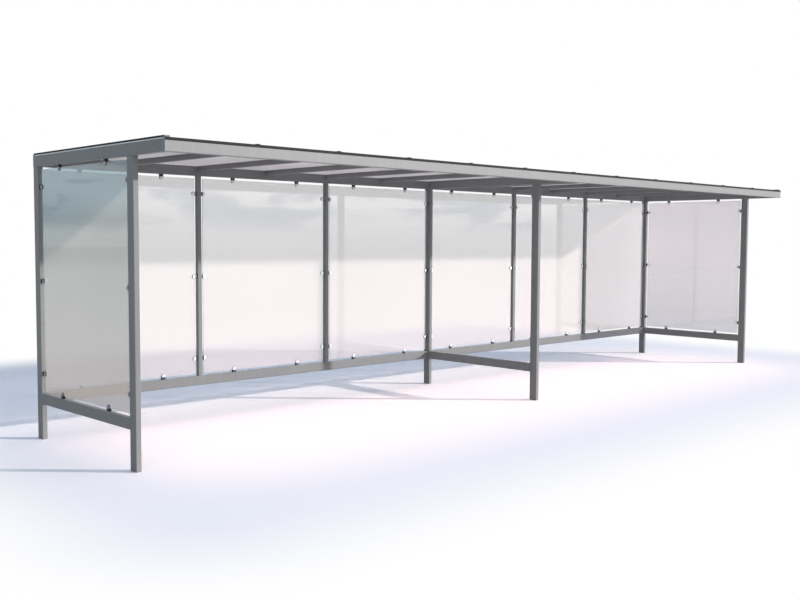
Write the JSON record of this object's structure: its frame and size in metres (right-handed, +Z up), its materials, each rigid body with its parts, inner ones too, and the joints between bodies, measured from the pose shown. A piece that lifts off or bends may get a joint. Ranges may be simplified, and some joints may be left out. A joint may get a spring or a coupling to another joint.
{
  "type": "bicycle shelter",
  "caption": "Open-fronted bicycle shelter of steel tube with a flat overhanging roof, a glazed rear wall and glazed ends held by D-shaped clamps.",
  "frame": {"origin": "ground level, at the middle of the roof's outline", "axes": "+X along the shelter to the right seen from the open front, +Y to the glazed rear wall, +Z up"},
  "size_m": [8.4, 1.9, 2.15],
  "materials": {
    "frame_paint": "grey satin powder coat on welded steel tube",
    "clear_glass": "clear toughened glass, polished",
    "stainless_clamp": "satin stainless steel",
    "clamp_rubber": "black moulded rubber",
    "roof_panel": "opal twin-wall polycarbonate sheet",
    "cover_strip": "dark grey coated aluminium section",
    "dark_trim": "dark grey coated aluminium edge profile",
    "light_trim": "mill-finish aluminium angle"
  },
  "bodies": {
    "root": {"front_post_left": "frame_paint", "rear_post_left": "frame_paint", "side_rail_left": "frame_paint", "roof_beam_left": "frame_paint", "front_post_middle": "frame_paint", "rear_post_middle": "frame_paint", "side_rail_middle": "frame_paint", "roof_beam_middle": "frame_paint", "front_post_right": "frame_paint", "rear_post_right": "frame_paint", "side_rail_right": "frame_paint", "roof_beam_right": "frame_paint", "rear_rail_left": "frame_paint", "rear_beam_left": "frame_paint", "front_beam_left": "frame_paint", "rear_rail_right": "frame_paint", "rear_beam_right": "frame_paint", "front_beam_right": "frame_paint", "rear_mullion_1": "frame_paint", "rear_mullion_2": "frame_paint", "rear_mullion_3": "frame_paint", "rear_mullion_4": "frame_paint", "rafter_1": "frame_paint", "rafter_2": "frame_paint", "rafter_3": "frame_paint", "rafter_4": "frame_paint", "rafter_5": "frame_paint", "rafter_6": "frame_paint", "rafter_7": "frame_paint", "rafter_8": "frame_paint", "rafter_9": "frame_paint", "rafter_10": "frame_paint", "rear_glass_1": "clear_glass", "rear_glass_2": "clear_glass", "rear_glass_3": "clear_glass", "rear_glass_4": "clear_glass", "rear_glass_5": "clear_glass", "rear_glass_6": "clear_glass", "end_glass_left": "clear_glass", "end_glass_right": "clear_glass", "glass_clamps": "stainless_clamp", "clamp_covers": "stainless_clamp", "clamp_gaskets": "clamp_rubber", "roof_panels": "roof_panel", "cover_strips": "cover_strip", "long_edge_trims": "dark_trim", "end_edge_trims": "light_trim"}
  },
  "joints": []
}
